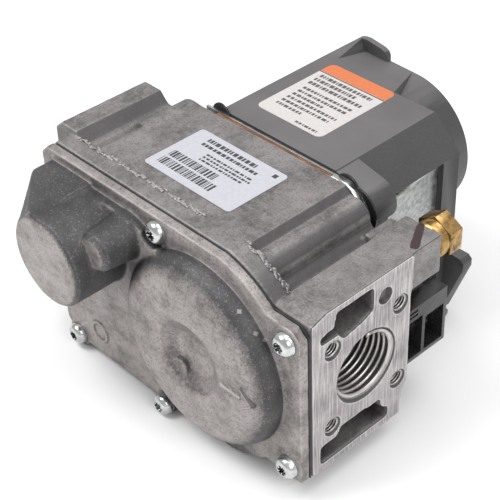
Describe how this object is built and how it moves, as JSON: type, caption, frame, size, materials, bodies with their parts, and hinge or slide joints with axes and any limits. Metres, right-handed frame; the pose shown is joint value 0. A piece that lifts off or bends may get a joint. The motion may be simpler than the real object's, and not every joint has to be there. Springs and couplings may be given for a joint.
{
  "type": "combination gas valve",
  "caption": "Die-cast gas valve with threaded in-line ports, domed diaphragm cover, power unit tower and a plastic control head with knob, terminals and pilot outlet.",
  "frame": {"origin": "centre of the outlet port on the machined outlet face", "axes": "+X along the gas flow out of the outlet; +Y towards the control head; +Z towards the label face"},
  "size_m": [0.1083, 0.1276, 0.0691],
  "materials": {
    "cast": "as-cast, mottled",
    "zinc": "zinc plated",
    "steel": "machined",
    "brass": "machined",
    "copper": "enamelled copper wire",
    "rubber": "moulded",
    "gasket": "brown fibre gasket",
    "black_plastic": "moulded",
    "grey_plastic": "fine texture",
    "white_plastic": "moulded",
    "label_grey": "printed label",
    "label_white": "printed label"
  },
  "bodies": {
    "valve": {"valve_body": "cast", "bottom_plate": "cast", "main_diaphragm": "rubber", "bottom_plate_screws": "zinc", "main_valve_seat": "brass", "main_valve_spring": "steel", "safety_valve_seat": "brass", "safety_valve_spring": "steel", "power_unit_magnet": "steel", "power_unit_coil": "copper", "thermocouple_socket": "brass", "inlet_screen": "steel", "head_gasket": "gasket", "sealing_plate": "zinc", "control_base": "black_plastic", "control_cover": "grey_plastic", "cover_screws": "zinc", "knob_spring": "steel", "stem_seal": "rubber", "solenoid_bracket": "zinc", "solenoid_bobbin": "black_plastic", "solenoid_coil": "copper", "plunger_spring": "steel", "servo_seat": "brass", "regulator_sleeve": "cast", "regulator_diaphragm": "rubber", "regulator_spring": "steel", "regulator_spring_seat": "steel", "regulator_cap_screw": "zinc", "pilot_sleeve": "cast", "pilot_cap_screw": "zinc", "pilot_fitting": "brass", "pilot_compression_nut": "brass", "pilot_ferrule": "brass", "terminal_block": "black_plastic", "terminal_tabs": "brass", "terminal_screws": "zinc", "terminal_block_screw": "zinc", "pressure_tap_plugs": "steel", "rating_label": "label_grey", "warning_label": "label_white"},
    "reset": {"reset_yoke": "steel"},
    "knob": {"gas_control_knob": "grey_plastic", "knob_shaft": "steel", "knob_retaining_clip": "steel"},
    "safety_valve": {"safety_valve_stem": "steel", "safety_valve_disc": "rubber", "safety_valve_armature": "steel"},
    "main_valve": {"main_valve_disc": "rubber", "diaphragm_plate": "steel"},
    "plunger": {"solenoid_plunger": "steel"},
    "regulator_screw": {"regulator_adjusting_screw": "white_plastic"},
    "pilot_screw": {"pilot_adjusting_screw": "brass"}
  },
  "joints": [
    {"name": "knob_push", "type": "slide", "parent": "valve", "child": "reset", "axis": [0, -1, 0], "range_m": [0, 0.0035], "stiffness_N_per_m": 1500, "springref_m": -0.002, "deforming": ["knob_spring"]},
    {"name": "knob_turn", "type": "hinge", "parent": "reset", "child": "knob", "pos_m": [-0.0555, 0.08, 0.008], "axis": [0, 1, 0], "range_deg": [-180, 0]},
    {"name": "safety_valve_open", "type": "slide", "parent": "valve", "child": "safety_valve", "axis": [0, -1, 0], "range_m": [0, 0.0035], "stiffness_N_per_m": 600, "springref_m": -0.003, "deforming": ["safety_valve_spring"]},
    {"name": "main_valve_lift", "type": "slide", "parent": "valve", "child": "main_valve", "axis": [0, -1, 0], "range_m": [0, 0.003], "stiffness_N_per_m": 300, "springref_m": -0.004, "deforming": ["main_valve_spring"]},
    {"name": "plunger_travel", "type": "slide", "parent": "valve", "child": "plunger", "axis": [0, 1, 0], "range_m": [0, 0.002], "stiffness_N_per_m": 300, "springref_m": -0.003, "deforming": ["plunger_spring"]},
    {"name": "regulator_turn", "type": "hinge", "parent": "valve", "child": "regulator_screw", "pos_m": [-0.0635, 0.064, -0.018], "axis": [0, -1, 0], "range_deg": [-720, 720]},
    {"name": "pilot_adjust_turn", "type": "hinge", "parent": "valve", "child": "pilot_screw", "pos_m": [-0.046, 0.043, -0.024], "axis": [0, 1, 0], "range_deg": [-360, 360]}
  ],
  "couplings": [
    {"joint": "safety_valve_open", "follows": "knob_push", "ratio": 1}
  ]
}
